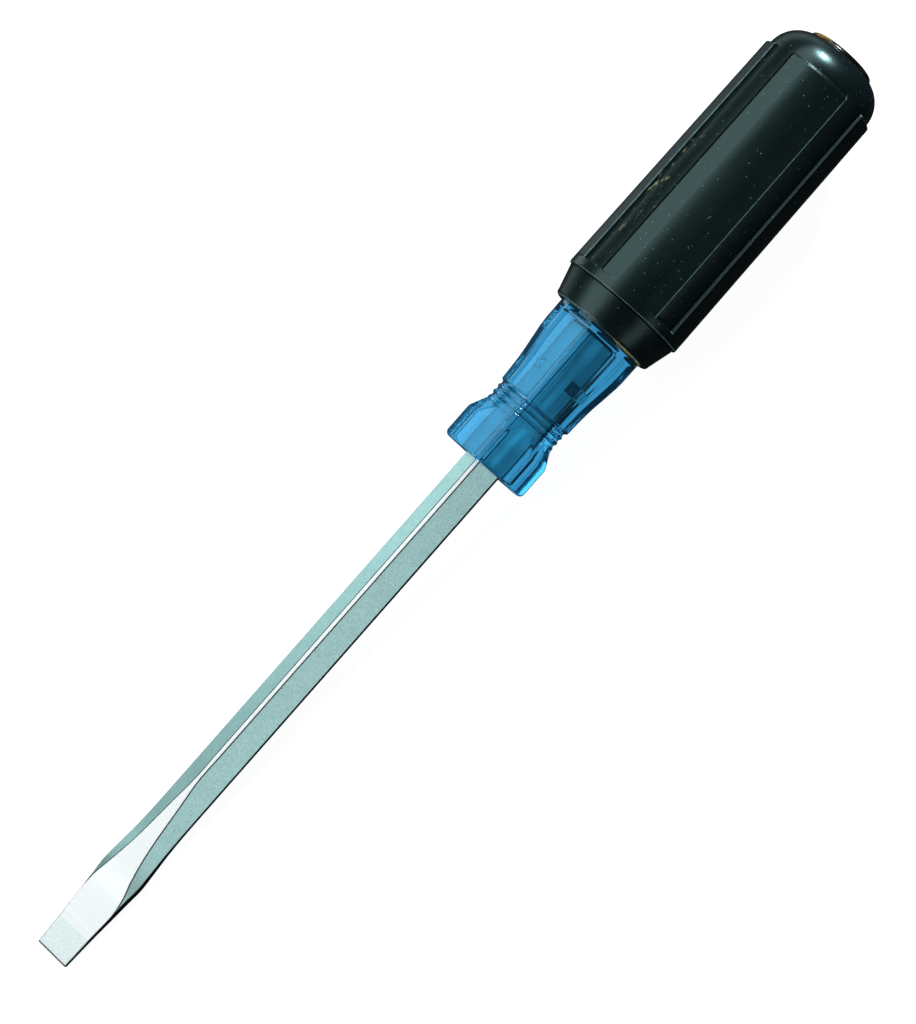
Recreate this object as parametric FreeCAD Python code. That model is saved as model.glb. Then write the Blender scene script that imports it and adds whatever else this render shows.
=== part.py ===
import FreeCAD, Part

import math
import os

# A heavy-duty slotted screwdriver with a square shank, a keystone tip and a cushioned handle.
# The tool's axis is the X axis. The origin is the middle of the tip's end, +X runs from the
# tip to the butt, and the two ground flats of the tip face +Z and -Z. Sizes are millimetres.
# "Turned" shapes are drawn as distance along the tool against radius, then spun about X.

# ---- lengths along the tool, measured from the end of the tip ----
SHANK_END = 152.4            # the shank's free length is 6 inches, up to the handle
GRIND_END = 53.4             # the tip's flats run out on the shank's corners here
TANG_END = 192.6             # how far the bar reaches inside the handle
WINGS_START = 178.2          # swaged wings that stop the bar turning or pulling out
WINGS_END = 181.2
COLLAR_END = 161.1           # the bolster is full width up to here
NECK_START = 165.2           # the bolster's cone ends on the ring-grooved neck
NECK_END = 170.75
FACET_END = 193.6            # the handle's long facets stop just short of the sleeve
MOUTH = 194.2                # open front end of the rubber sleeve
RING_AT = 201.5              # fine ring groove round the sleeve
LAND_START = 204.0           # the sleeve's four lands and the channels between them
LAND_END = 271.3
CORE_END = 275.3             # butt end of the plastic core, under the rubber
HOLE_RIM = 278.9             # rim of the round hole in the sleeve's domed end
INSERT_APEX = 280.9          # highest point of the butt insert, the tool's overall length
INSERT_START = 264.0         # bottom of the insert's pocket in the core

# ---- square bar ----
BAR_ACROSS_FLATS = 7.94      # 5/16 inch square stock, set with its corners up and down
BAR_CORNER_FLAT = 1.1        # width of the flat along each corner
BAR_FACE_REACH = BAR_ACROSS_FLATS / math.sqrt(2)
BAR_CORNER_REACH = BAR_FACE_REACH - BAR_CORNER_FLAT / 2
WING_REACH = 5.3             # wing tips, from the axis, just past the bar's corners
WING_THICKNESS = 2.4
WING_ROOT = 3.2              # the bar is squeezed outside this distance from the axis
TANG_BEVEL = 0.8             # bevel round the bar's hidden end

# ---- keystone tip ----
TIP_HALF_WIDTH = 4.56
TIP_HALF_THICKNESS = 0.65
EDGE_BREAK = 0.12            # bevel on the ground edges
TIP_SECTIONS = (
    # distance from the end, half thickness, half width, half width of the flat, half height of the side
    (9.0, 0.93, 4.88, 4.76, 0.81),
    (17.0, 1.32, 5.28, 5.15, 1.19),
    (21.0, 1.95, 5.51, 4.80, 1.32),
    (25.0, 2.85, 5.80, 3.88, 1.22),
    (30.0, 3.50, 5.56, 2.94, 0.98),
    (35.0, 3.85, 5.25, 2.23, 0.76),
    (40.0, 4.18, 5.11, 1.74, 0.62),
    (46.0, 4.58, 5.07, 1.23, 0.55),
)

# ---- plastic core ----
FRONT_EDGE_ROUND = 1.4
BOLSTER_RADIUS = 11.95
NECK_RADIUS = 9.8
BODY_FRONT_RADIUS = 10.25
BODY_WAIST = 178.5           # the body is nearly straight up to here, then it flares
BODY_WAIST_RADIUS = 10.65
BODY_FLARE_END = 187.5
BODY_RADIUS = 11.85
FLARE_END_DROP = 0.08        # the flare is this much short of full radius at its end
RING_GROOVES = (166.7, 168.4, 170.05)
RING_GROOVE_ROUND = 0.6      # radius of the groove's round bottom
RING_GROOVE_BOTTOM = 9.45
FACETS = 8
FACET_CLOCK = 33.0           # turn of the first facet's middle from +Z towards -Y, degrees
FACET_RUNOUT = 1.2           # radius of the rounded end of each facet
BOLSTER_FACET_DEPTH = 0.74
NECK_FACET_DEPTH = 0.2
BODY_FACET_DEPTH = 0.5
KEY_GROOVES = 4              # grooves that lock the sleeve to the core
KEY_GROOVE_WIDTH = 5.0
KEY_GROOVE_DEPTH = 0.9
KEY_GROOVE_START = 208.0
KEY_GROOVE_END = 262.0

# ---- rubber sleeve ----
MOUTH_RADIUS = 13.95
MOUTH_LIP_ROUND = 0.9
RING_FOOT_RADIUS = 15.75
RING_GROOVE_DEPTH = 0.35
RING_GROOVE_WIDTH = 0.45
RING_BEVEL_HEIGHT = 0.15     # bevel on the groove's back edge
RING_BEVEL_LENGTH = 0.25
LAND_RADIUS_FRONT = 16.3
LAND_RADIUS_BACK = 15.8
CHANNEL_RADIUS_FRONT = 15.3
CHANNEL_RADIUS_BACK = 14.9
LANDS = 4
LAND_CLOCK = 13.7            # turn of the first land's middle from +Z towards -Y, degrees
LAND_HALF_ANGLE = 32.3
LAND_CROWN_HALF_ANGLE = 13.4
LAND_EDGE_DROP = 0.1         # the lands' edges are this much lower than their crowns
LAND_FOOT_HEIGHT = 0.12      # what is left of a land where it meets the dome
LAND_END_SLOPE = 0.5         # length of the sloped step down from the lands to the dome
HOLE_RADIUS = 9.1

# ---- butt insert and adhesive ----
INSERT_RADIUS = 9.0
INSERT_SHOULDER = 279.0      # where the insert's rounded edge starts
INSERT_CAP_START = 280.1     # the edge meets the nearly flat cap here
INSERT_CAP_RADIUS = 7.5
INSERT_EDGE_AT = 279.7       # a point halfway round the edge
INSERT_EDGE_RADIUS = 8.5
BEAD_LENGTH = 0.55           # adhesive showing at the sleeve's mouth
BEAD_HEIGHT = 0.75
BEAD_CREST_AT = 0.15         # the bead's crest, in front of the mouth and above the core
BEAD_CREST_HEIGHT = 0.52

FAR = 40.0                   # beyond every surface of the tool
OVERLAP = 1.0                # cutters start this far outside what they cut

X_AXIS = FreeCAD.Vector(1, 0, 0)
CENTRE = FreeCAD.Vector(0, 0, 0)


def at(distance, radius):
    """A point of a turned outline."""
    return FreeCAD.Vector(distance, 0, radius)


def line(start, end):
    return Part.LineSegment(start, end).toShape()


def arc(start, middle, end):
    return Part.Arc(start, middle, end).toShape()


def smooth(points):
    curve = Part.BSplineCurve()
    curve.interpolate(points)
    return curve.toShape()


def outward(solid):
    """The same solid with its faces pointing out."""
    if solid.Volume < 0:
        solid.reverse()
    return solid


def spin(edges):
    """Close an outline down to the axis and turn it into a solid about X."""
    start = edges[0].Vertexes[0].Point
    end = edges[-1].Vertexes[-1].Point
    closing = [line(end, at(end.x, 0)), line(at(end.x, 0), at(start.x, 0))]
    if start.z > 0:
        closing.append(line(at(start.x, 0), start))
    face = Part.Face(Part.Wire(edges + closing))
    return outward(face.revolve(CENTRE, X_AXIS, 360))


def turned(shape, degrees):
    """A copy of a shape, turned about the tool's axis from +Z towards -Y."""
    copy = shape.copy()
    copy.rotate(CENTRE, X_AXIS, degrees)
    return copy


def round_corner(radius, corner_distance, corner_radius):
    """Quarter round from a front face onto a turned surface."""
    inner = radius * (1 - math.sqrt(0.5))
    return arc(at(corner_distance, corner_radius - radius),
               at(corner_distance + inner, corner_radius - inner),
               at(corner_distance + radius, corner_radius))


# ---- blade ----

def bar_corners(distance, flat_half_width, half_thickness, half_width, side_half_height):
    """Corners of the blade's eight-sided section: two flats, two sides and four sloping faces."""
    quarter = [(half_width, side_half_height), (flat_half_width, half_thickness)]
    upper = quarter + [(-y, z) for y, z in reversed(quarter)]
    corners = upper + [(-y, -z) for y, z in upper]
    return [FreeCAD.Vector(distance, y, z) for y, z in corners]


def square_corners(distance):
    corner = BAR_CORNER_FLAT / 2
    return bar_corners(distance, corner, BAR_CORNER_REACH, BAR_CORNER_REACH, corner)


def polygon(points):
    return Part.makePolygon(points + points[:1])


def blade_tip():
    """The keystone tip: nearly parallel and thin, then swelling up to the square shank.

    Each corner of the section runs along the tip as one smooth line, and every face between
    two of these lines is straight across, as grinding leaves it.
    """
    sections = [
        bar_corners(0, TIP_HALF_WIDTH - EDGE_BREAK, TIP_HALF_THICKNESS,
                    TIP_HALF_WIDTH, TIP_HALF_THICKNESS - EDGE_BREAK)]
    for distance, half_thickness, half_width, flat_half_width, side_half_height in TIP_SECTIONS:
        sections.append(bar_corners(distance, flat_half_width, half_thickness,
                                    half_width, side_half_height))
    sections.append(square_corners(GRIND_END))
    rails = [smooth(list(points)) for points in zip(*sections)]
    faces = [Part.makeRuledSurface(rail, rails[index - 1]) for index, rail in enumerate(rails)]
    faces.append(Part.Face(polygon(sections[0])))
    faces.append(Part.Face(polygon(sections[-1])))
    shell = Part.Shell(faces)
    shell.sewShape()
    return outward(Part.Solid(shell))


def anchor_cutters():
    """Where the bar is squeezed to raise the wings: above and below them, at both corners."""
    length = WINGS_END - WINGS_START
    height = FAR - WING_THICKNESS / 2
    cutters = []
    for y in (WING_ROOT, -FAR):
        for z in (WING_THICKNESS / 2, -FAR):
            corner = FreeCAD.Vector(WINGS_START, y, z)
            cutters.append(Part.makeBox(length, FAR - WING_ROOT, height, corner))
    return cutters


def blade():
    corner = BAR_CORNER_FLAT / 2
    end_reach = BAR_CORNER_REACH - TANG_BEVEL
    tang_shoulder = polygon(square_corners(TANG_END - TANG_BEVEL))
    tang_end = polygon(bar_corners(TANG_END, corner, end_reach, end_reach, corner))
    shank = Part.makeLoft([polygon(square_corners(GRIND_END)), tang_shoulder], True, True)
    bevel = Part.makeLoft([tang_shoulder, tang_end], True, True)
    bar = shank.fuse([blade_tip(), bevel])
    for cutter in anchor_cutters():
        bar = bar.cut(cutter)
    wings = Part.makeBox(WINGS_END - WINGS_START, 2 * WING_REACH, WING_THICKNESS,
                         FreeCAD.Vector(WINGS_START, -WING_REACH, -WING_THICKNESS / 2))
    return bar.fuse(wings).removeSplitter()


# ---- plastic core ----

def body_flare(inset):
    """Outline of the flared body, from the neck to full width, moved in by an inset."""
    return smooth([at(NECK_END, BODY_FRONT_RADIUS - inset),
                   at(BODY_WAIST, BODY_WAIST_RADIUS - inset),
                   at(BODY_FLARE_END, BODY_RADIUS - inset - FLARE_END_DROP),
                   at(FACET_END, BODY_RADIUS - inset)])


def core_body():
    """The core without its facets: bolster, neck, flared body and the part inside the sleeve."""
    face_radius = BOLSTER_RADIUS - FRONT_EDGE_ROUND
    return spin([
        line(at(SHANK_END, 0), at(SHANK_END, face_radius)),
        round_corner(FRONT_EDGE_ROUND, SHANK_END, BOLSTER_RADIUS),
        line(at(SHANK_END + FRONT_EDGE_ROUND, BOLSTER_RADIUS), at(COLLAR_END, BOLSTER_RADIUS)),
        line(at(COLLAR_END, BOLSTER_RADIUS), at(NECK_START, NECK_RADIUS)),
        line(at(NECK_START, NECK_RADIUS), at(NECK_END, NECK_RADIUS)),
        line(at(NECK_END, NECK_RADIUS), at(NECK_END, BODY_FRONT_RADIUS)),
        body_flare(0),
        line(at(FACET_END, BODY_RADIUS), at(CORE_END, BODY_RADIUS)),
    ])


def facet_cutter():
    """Everything outside one long facet. The facet follows the core's outline and ends rounded."""
    bolster_floor = BOLSTER_RADIUS - BOLSTER_FACET_DEPTH
    neck_floor = NECK_RADIUS - NECK_FACET_DEPTH
    body_floor = BODY_RADIUS - BODY_FACET_DEPTH
    runout_start = FACET_END - FACET_RUNOUT
    front = SHANK_END - OVERLAP
    slant = FACET_RUNOUT * math.sqrt(0.5)
    edges = [
        line(at(front, bolster_floor), at(COLLAR_END, bolster_floor)),
        line(at(COLLAR_END, bolster_floor), at(NECK_START, neck_floor)),
        line(at(NECK_START, neck_floor), at(NECK_END, neck_floor)),
        line(at(NECK_END, neck_floor), at(NECK_END, BODY_FRONT_RADIUS - BODY_FACET_DEPTH)),
        smooth([at(NECK_END, BODY_FRONT_RADIUS - BODY_FACET_DEPTH),
                at(BODY_WAIST, BODY_WAIST_RADIUS - BODY_FACET_DEPTH),
                at(BODY_FLARE_END, body_floor - FLARE_END_DROP),
                at(runout_start, body_floor)]),
        arc(at(runout_start, body_floor),
            at(runout_start + slant, body_floor + FACET_RUNOUT - slant),
            at(FACET_END, body_floor + FACET_RUNOUT)),
        line(at(FACET_END, body_floor + FACET_RUNOUT), at(FACET_END, FAR)),
        line(at(FACET_END, FAR), at(front, FAR)),
        line(at(front, FAR), at(front, bolster_floor)),
    ]
    face = Part.Face(Part.Wire(edges))
    face.translate(FreeCAD.Vector(0, -FAR / 2, 0))
    return outward(face.extrude(FreeCAD.Vector(0, FAR, 0)))


def ring_groove(distance):
    middle = RING_GROOVE_BOTTOM + RING_GROOVE_ROUND
    return Part.makeTorus(middle, RING_GROOVE_ROUND, at(distance, 0), X_AXIS)


def key_groove():
    length = KEY_GROOVE_END - KEY_GROOVE_START
    corner = FreeCAD.Vector(KEY_GROOVE_START, -KEY_GROOVE_WIDTH / 2, BODY_RADIUS - KEY_GROOVE_DEPTH)
    return Part.makeBox(length, KEY_GROOVE_WIDTH, FAR, corner)


def insert_pocket():
    return Part.makeCylinder(INSERT_RADIUS, FAR, at(INSERT_START, 0), X_AXIS)


def handle_core(bar):
    core = core_body()
    facet = facet_cutter()
    for index in range(FACETS):
        core = core.cut(turned(facet, FACET_CLOCK + index * 360 / FACETS))
    for distance in RING_GROOVES:
        core = core.cut(ring_groove(distance))
    for index in range(KEY_GROOVES):
        core = core.cut(turned(key_groove(), LAND_CLOCK + index * 360 / KEY_GROOVES))
    return core.cut([insert_pocket(), bar])


# ---- rubber sleeve ----

def polar(distance, radius, degrees):
    """A point of a sleeve section, with its angle from +Z towards -Y."""
    angle = math.radians(degrees)
    return FreeCAD.Vector(distance, -radius * math.sin(angle), radius * math.cos(angle))


def land_section(distance, land_radius, channel_radius):
    """Closed section with four lands: each has a round crown between two flat flanks."""
    crown = LAND_CROWN_HALF_ANGLE
    side = LAND_HALF_ANGLE
    pitch = 360 / LANDS
    edge_radius = land_radius - LAND_EDGE_DROP
    edges = []
    for index in range(LANDS):
        middle = LAND_CLOCK + index * pitch
        floor_end = middle + pitch - side
        crown_start = polar(distance, land_radius, middle - crown)
        crown_end = polar(distance, land_radius, middle + crown)
        land_start = polar(distance, edge_radius, middle - side)
        land_edge = polar(distance, edge_radius, middle + side)
        floor_start = polar(distance, channel_radius, middle + side)
        floor_middle = polar(distance, channel_radius, middle + pitch / 2)
        floor_stop = polar(distance, channel_radius, floor_end)
        edges.append(line(land_start, crown_start))
        edges.append(arc(crown_start, polar(distance, land_radius, middle), crown_end))
        edges.append(line(crown_end, land_edge))
        edges.append(line(land_edge, floor_start))
        edges.append(arc(floor_start, floor_middle, floor_stop))
        edges.append(line(floor_stop, polar(distance, edge_radius, floor_end)))
    return Part.Wire(edges)


def sleeve_front():
    """Rounded mouth, cone, ring groove and the plain band that the channels stop against."""
    lip_end = at(MOUTH + MOUTH_LIP_ROUND, MOUTH_RADIUS)
    ring_floor = RING_FOOT_RADIUS - RING_GROOVE_DEPTH
    ring_back = RING_AT + RING_GROOVE_WIDTH
    bevel_foot = at(ring_back, LAND_RADIUS_FRONT - RING_BEVEL_HEIGHT)
    bevel_top = at(ring_back + RING_BEVEL_LENGTH, LAND_RADIUS_FRONT)
    return spin([
        line(at(MOUTH, 0), at(MOUTH, MOUTH_RADIUS - MOUTH_LIP_ROUND)),
        round_corner(MOUTH_LIP_ROUND, MOUTH, MOUTH_RADIUS),
        line(lip_end, at(RING_AT, RING_FOOT_RADIUS)),
        line(at(RING_AT, RING_FOOT_RADIUS), at(RING_AT, ring_floor)),
        line(at(RING_AT, ring_floor), at(ring_back, ring_floor)),
        line(at(ring_back, ring_floor), bevel_foot),
        line(bevel_foot, bevel_top),
        line(bevel_top, at(LAND_START, LAND_RADIUS_FRONT)),
    ])


def sleeve_lands():
    """The gripping length, slightly slimmer towards the butt, and the lands' sloped ends."""
    front = land_section(LAND_START, LAND_RADIUS_FRONT, CHANNEL_RADIUS_FRONT)
    back = land_section(LAND_END - LAND_END_SLOPE, LAND_RADIUS_BACK, CHANNEL_RADIUS_BACK)
    foot = land_section(LAND_END, CHANNEL_RADIUS_BACK + LAND_FOOT_HEIGHT, CHANNEL_RADIUS_BACK)
    grip = Part.makeLoft([front, back], True, True)
    return grip.fuse(Part.makeLoft([back, foot], True, True))


def sleeve_dome():
    """Quarter-round end from the channels' floor to the rim of the hole."""
    length = HOLE_RIM - LAND_END
    drop = CHANNEL_RADIUS_BACK - HOLE_RADIUS
    dome_radius = (length ** 2 + drop ** 2) / (2 * drop)
    middle_rise = dome_radius * math.sqrt(0.5)
    centre_height = CHANNEL_RADIUS_BACK - dome_radius
    return spin([
        line(at(LAND_END, 0), at(LAND_END, CHANNEL_RADIUS_BACK)),
        arc(at(LAND_END, CHANNEL_RADIUS_BACK),
            at(LAND_END + middle_rise, centre_height + middle_rise),
            at(HOLE_RIM, HOLE_RADIUS)),
    ])


def cushion_grip():
    outside = sleeve_front().fuse([sleeve_lands(), sleeve_dome()])
    hole = Part.makeCylinder(HOLE_RADIUS, FAR, at(CORE_END - OVERLAP, 0), X_AXIS)
    inside = Part.makeCylinder(BODY_RADIUS, CORE_END - MOUTH, at(MOUTH, 0), X_AXIS)
    keys = Part.makeCompound([turned(key_groove(), LAND_CLOCK + index * 360 / KEY_GROOVES)
                              for index in range(KEY_GROOVES)])
    return outside.cut([inside.cut(keys), hole]).removeSplitter()


# ---- butt insert and adhesive ----

def butt_insert():
    """A plug with a rounded edge and a low cap that stands proud of the sleeve's hole."""
    rise = INSERT_APEX - INSERT_CAP_START
    sphere = (INSERT_CAP_RADIUS ** 2 + rise ** 2) / (2 * rise)
    half_radius = INSERT_CAP_RADIUS / 2
    half_at = INSERT_APEX - sphere + math.sqrt(sphere ** 2 - half_radius ** 2)
    return spin([
        line(at(INSERT_START, 0), at(INSERT_START, INSERT_RADIUS)),
        line(at(INSERT_START, INSERT_RADIUS), at(INSERT_SHOULDER, INSERT_RADIUS)),
        arc(at(INSERT_SHOULDER, INSERT_RADIUS), at(INSERT_EDGE_AT, INSERT_EDGE_RADIUS),
            at(INSERT_CAP_START, INSERT_CAP_RADIUS)),
        arc(at(INSERT_CAP_START, INSERT_CAP_RADIUS), at(half_at, half_radius), at(INSERT_APEX, 0)),
    ])


def grip_adhesive():
    """The bead of adhesive squeezed out round the core at the sleeve's mouth."""
    outline = [at(MOUTH, BODY_RADIUS), at(MOUTH - BEAD_LENGTH, BODY_RADIUS),
               at(MOUTH - BEAD_CREST_AT, BODY_RADIUS + BEAD_CREST_HEIGHT),
               at(MOUTH, BODY_RADIUS + BEAD_HEIGHT)]
    face = Part.Face(Part.makePolygon(outline + outline[:1]))
    return outward(face.revolve(CENTRE, X_AXIS, 360))


def main():
    bar = blade()
    nodes = {
        "blade": bar,
        "handle_core": handle_core(bar),
        "cushion_grip": cushion_grip(),
        "butt_insert": butt_insert(),
        "grip_adhesive": grip_adhesive(),
    }
    os.makedirs("parts", exist_ok=True)
    for name, shape in nodes.items():
        print(name, shape.ShapeType, len(shape.Solids), shape.isValid(), round(shape.Volume, 1))
        shape.exportStep("parts/" + name + ".step")


main()
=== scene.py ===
import math

import bpy
from mathutils import Matrix, Vector


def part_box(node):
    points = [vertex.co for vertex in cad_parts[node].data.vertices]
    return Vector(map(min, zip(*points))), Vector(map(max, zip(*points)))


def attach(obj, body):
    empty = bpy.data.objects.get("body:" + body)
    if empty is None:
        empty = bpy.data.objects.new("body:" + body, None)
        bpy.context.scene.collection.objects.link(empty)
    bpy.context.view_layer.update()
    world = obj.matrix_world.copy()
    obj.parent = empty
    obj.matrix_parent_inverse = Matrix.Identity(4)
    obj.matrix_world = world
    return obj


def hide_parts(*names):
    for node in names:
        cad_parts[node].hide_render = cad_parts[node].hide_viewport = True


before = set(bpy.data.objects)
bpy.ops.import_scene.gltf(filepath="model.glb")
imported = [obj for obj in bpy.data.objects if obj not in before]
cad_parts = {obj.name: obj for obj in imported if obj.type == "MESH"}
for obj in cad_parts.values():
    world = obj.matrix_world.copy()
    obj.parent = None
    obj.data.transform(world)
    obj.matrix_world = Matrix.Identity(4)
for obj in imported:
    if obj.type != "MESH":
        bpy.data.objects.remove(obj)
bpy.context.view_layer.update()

# A slotted screwdriver lying along X, tip at the origin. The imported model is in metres; the
# outlines below are in millimetres, like the design they follow, and MM brings them to metres.
# Angles about the tool's axis are measured from +Z towards -Y.

MM = 0.001

# ---- places along the tool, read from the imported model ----
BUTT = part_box("butt_insert")[1].x / MM
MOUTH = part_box("cushion_grip")[0].x / MM
HOLE_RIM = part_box("cushion_grip")[1].x / MM
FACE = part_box("handle_core")[0].x / MM
TANG_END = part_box("blade")[1].x / MM
BOLSTER_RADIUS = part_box("handle_core")[1].z / MM

# ---- blade ----
BAR_WIDTH = 7.94             # across the bar's faces
HALF_DIAGONAL = BAR_WIDTH / math.sqrt(2)
CORNER_HALF = 0.55           # half width of the small flat along each corner
CORNER_REACH = HALF_DIAGONAL - CORNER_HALF
EDGE_ROUND = 0.2
EDGE_ROUND_SHARE = 0.45      # a rounding takes no more than this of a short face
POINTS_PER_CORNER = 3
END_BEVEL = 0.12             # broken edge at the end of the tip
END_RIM = (
    # share of the bevel's length, of the tip's width and of its thickness
    (0.0, 0.975, 0.82),
    (0.4, 0.992, 0.94),
)
BLASTED_LENGTH = 8.2
GRIND_END = 53.4
STRAIGHT_START = GRIND_END + 8
FACE_BORDER_ANGLE = 8.0      # the bar's faces meet at small angles near the end of the grinding
TANG_BEVEL = 0.8
TIP_SECTIONS = (
    # distance from the end, half thickness, half width, half width of the flat, half height of the side
    (0.0, 0.65, 4.56, 4.44, 0.53),
    (9.0, 0.93, 4.88, 4.76, 0.81),
    (17.0, 1.32, 5.28, 5.15, 1.19),
    (21.0, 1.95, 5.51, 4.80, 1.32),
    (25.0, 2.85, 5.80, 3.88, 1.22),
    (30.0, 3.50, 5.56, 2.94, 0.98),
    (35.0, 3.85, 5.25, 2.23, 0.76),
    (40.0, 4.18, 5.11, 1.74, 0.62),
    (46.0, 4.58, 5.07, 1.23, CORNER_HALF),
    (GRIND_END, CORNER_REACH, CORNER_REACH, CORNER_HALF, CORNER_HALF),
    (STRAIGHT_START, CORNER_REACH, CORNER_REACH, CORNER_HALF, CORNER_HALF),
)
WINGS_START = 178.2
WINGS_END = 181.2
WING_REACH = 5.3             # just past the bar's corners
WING_HALF_THICKNESS = 1.2
WING_EDGE = 0.2
WING_EDGE_SHARE = 0.94
WING_ROOT = 3.2              # between the wings the bar is only this wide each way

# ---- plastic core ----
FRONT_ROUND = 1.4
COLLAR_END = 161.1
NECK_START = 165.2
NECK_END = 170.75
NECK_RADIUS = 9.8
CONE_SLOPE = (BOLSTER_RADIUS - NECK_RADIUS) / (NECK_START - COLLAR_END)
STEP_SLOPE = 3.0             # steepness of the step from the neck up to the body
BODY_FLARE = ((NECK_END, 10.2), (174.0, 10.32), (178.5, 10.65), (183.0, 11.25), (187.5, 11.77),
              (192.0, 11.85), (198.0, 11.85))
RING_GROOVES = (166.7, 168.4, 170.05)
RING_GROOVE_HALF = 0.54
RING_GROOVE_DEPTH = 0.35
RING_GROOVE_BOTTOM = 0.3     # share of a groove's half width that counts as its bottom
FACETS = 8
FACET_CLOCK = 33.0
FACET_END = 193.6
FACET_RUNOUT = 1.2
FACETS_GONE = FACET_END + 0.2
BOLSTER_FACET_DEPTH = 0.74
NECK_FACET_DEPTH = 0.2
BODY_FACET_DEPTH = 0.5
NECK_STEP = 0.5              # the facets' depth changes over this length behind the neck
FACET_POINTS = (0.0, 0.3, 0.6, 0.85)     # shares of half a facet that have a point
RIDGE_SOFTNESS = 0.09        # how much the ridges between facets are rounded
RIDGE_HALF_ANGLE = 1.0
RIDGE_PLACE = 4              # place of a facet's first ridge in the points of one facet
RIDGE_MIN_DEPTH = 0.02       # a shallower facet has no ridge to mark
RIDGE_FRONT_GAP = 0.3        # ridges aren't marked on this much of the rounded front edge
COLLAR_SOFTNESS = 0.25
FACE_SHARES = (0.5, 0.8, 0.96)           # rings on the flat front, as shares of its radius
CORE_STRETCHES = (
    # start and end of a stretch, and the number of rings in it
    (FACE + 1.8, COLLAR_END - 0.5, 16),
    (COLLAR_END - 0.35, NECK_START, 26),
    (NECK_START + 0.15, NECK_END + 0.4, 62),
    (NECK_END + 0.6, FACET_END - FACET_RUNOUT, 44),
    (FACET_END - FACET_RUNOUT + 0.1, FACET_END + 0.15, 20),
    (FACET_END + 0.4, 196.0, 8),
    (200.0, 274.0, 6),
)

# ---- rubber sleeve ----
INNER_RADIUS = 11.8
BORE_END = 275.0
LIP_INSIDE = ((1.0, 0.0), (0.25, 0.0), (0.05, 0.15), (0.0, 0.45))    # past the mouth, off the bore
LIP_ROUND = 0.95
LIP_CENTRE_RADIUS = 13.0
HIGHLIGHT_LIP_LENGTH = 0.2
HIGHLIGHT_LIP_Y = 1.0           # the lip gets a painted highlight only where Y and Z are more than these
HIGHLIGHT_LIP_Z = 3.0
LAND_RADIUS = 16.3
CONE_FOOT = 15.68
RING_AT = 201.5              # a ring groove parts the cone from the gripping length
RING_FLOOR = 15.38
RING_SHOULDER = 0.38
RING_SECTION = (
    # distance from the ring groove, radius
    (-0.12, CONE_FOOT),
    (-0.05, RING_FLOOR + 0.07),
    (0.05, RING_FLOOR),
    (0.16, RING_FLOOR),
    (0.25, RING_FLOOR + 0.1),
    (0.3, LAND_RADIUS - 0.3),
    (RING_SHOULDER, LAND_RADIUS - 0.1),
    (0.55, LAND_RADIUS),
)
LANDS = 4
LAND_CLOCK = 13.7
LAND_HALF_ANGLE = 32.3
CROWN_HALF_ANGLE = 13.4
CROWN_RADIUS = 16.3
LAND_EDGE_RADIUS = 16.2
WALL_ANGLE = 0.9             # angle over which a land's wall rises
GROOVE_ANGLE = -30.8         # a fine groove runs along one side of each land
GROOVE_HALF_ANGLE = 1.0
GROOVE_DEPTH = 0.45
LAND_START = 204.0
LAND_END = 271.3
LAND_FRONT_STEP = 0.4
LAND_BACK_STEP = 0.7
CHANNEL_FRONT = 15.3         # radius of the channels between the lands
CHANNEL_BACK = 14.9
LAND_HEIGHT_FRONT = 1.0
LAND_HEIGHT_BACK = 0.9
DOME_RADIUS = 7.88
DOME_CENTRE_HEIGHT = 7.02
DOME_TURN = 72.0
HOLE_RADIUS = 9.1

# ---- butt insert and adhesive ----
INSERT_RADIUS = 9.0
INSERT_START = 266.0
INSERT_LEAD = 2.0
INSERT_LEAD_DROP = 0.3
INSERT_SHOULDER = 279.0
INSERT_CAP_START = 280.1
INSERT_CAP_RADIUS = 7.5
INSERT_POINTS = 96
BEAD_INSIDE = 11.82
BEAD_SECTION = (
    # how far inside the mouth, out of it and off the core; the last two where the bead is fullest
    (0.4, 0.0, -0.1),
    (0.0, 0.45, 0.02),
    (0.0, 0.5, 0.15),
    (0.0, 0.3, 0.4),
    (0.0, 0.02, 0.6),
    (0.4, 0.0, 0.55),
)
BEAD_POINTS = 180
BEAD_FULLEST = 72.0          # angle where most of the adhesive was squeezed out
BEAD_LEAST = 0.06


def spread(start, end, count):
    """Evenly spaced values from start to end, both included."""
    return [start + (end - start) * index / (count - 1) for index in range(count)]


def ease(value, start, end):
    """0 before start, 1 after end, and a smooth rise between."""
    share = min(max((value - start) / (end - start), 0.0), 1.0)
    return share * share * (3 - 2 * share)


def soft_min(first, second, softness):
    """The smaller value, with the corner where they cross rounded off."""
    gap = max(softness - abs(first - second), 0.0) / softness
    return min(first, second) - gap * gap * softness / 4


def through(stations, distance, column):
    """Value of one column at a distance, on a smooth line through the stations."""
    last = len(stations) - 1
    index = 0
    while index < last - 1 and stations[index + 1][0] <= distance:
        index += 1

    def slope(at):
        before, after = max(at - 1, 0), min(at + 1, last)
        rise = stations[after][column] - stations[before][column]
        return rise / (stations[after][0] - stations[before][0])

    start, start_value = stations[index][0], stations[index][column]
    end, end_value = stations[index + 1][0], stations[index + 1][column]
    width = end - start
    share = min(max((distance - start) / width, 0.0), 1.0)
    square, cube = share ** 2, share ** 3
    value = start_value + (end_value - start_value) * (3 * square - 2 * cube)
    value += slope(index) * width * (cube - 2 * square + share)
    return value + slope(index + 1) * width * (cube - square)


def around(distance, radius, degrees):
    """A point at an angle about the tool's axis."""
    angle = math.radians(degrees)
    return (distance, -radius * math.sin(angle), radius * math.cos(angle))


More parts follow.
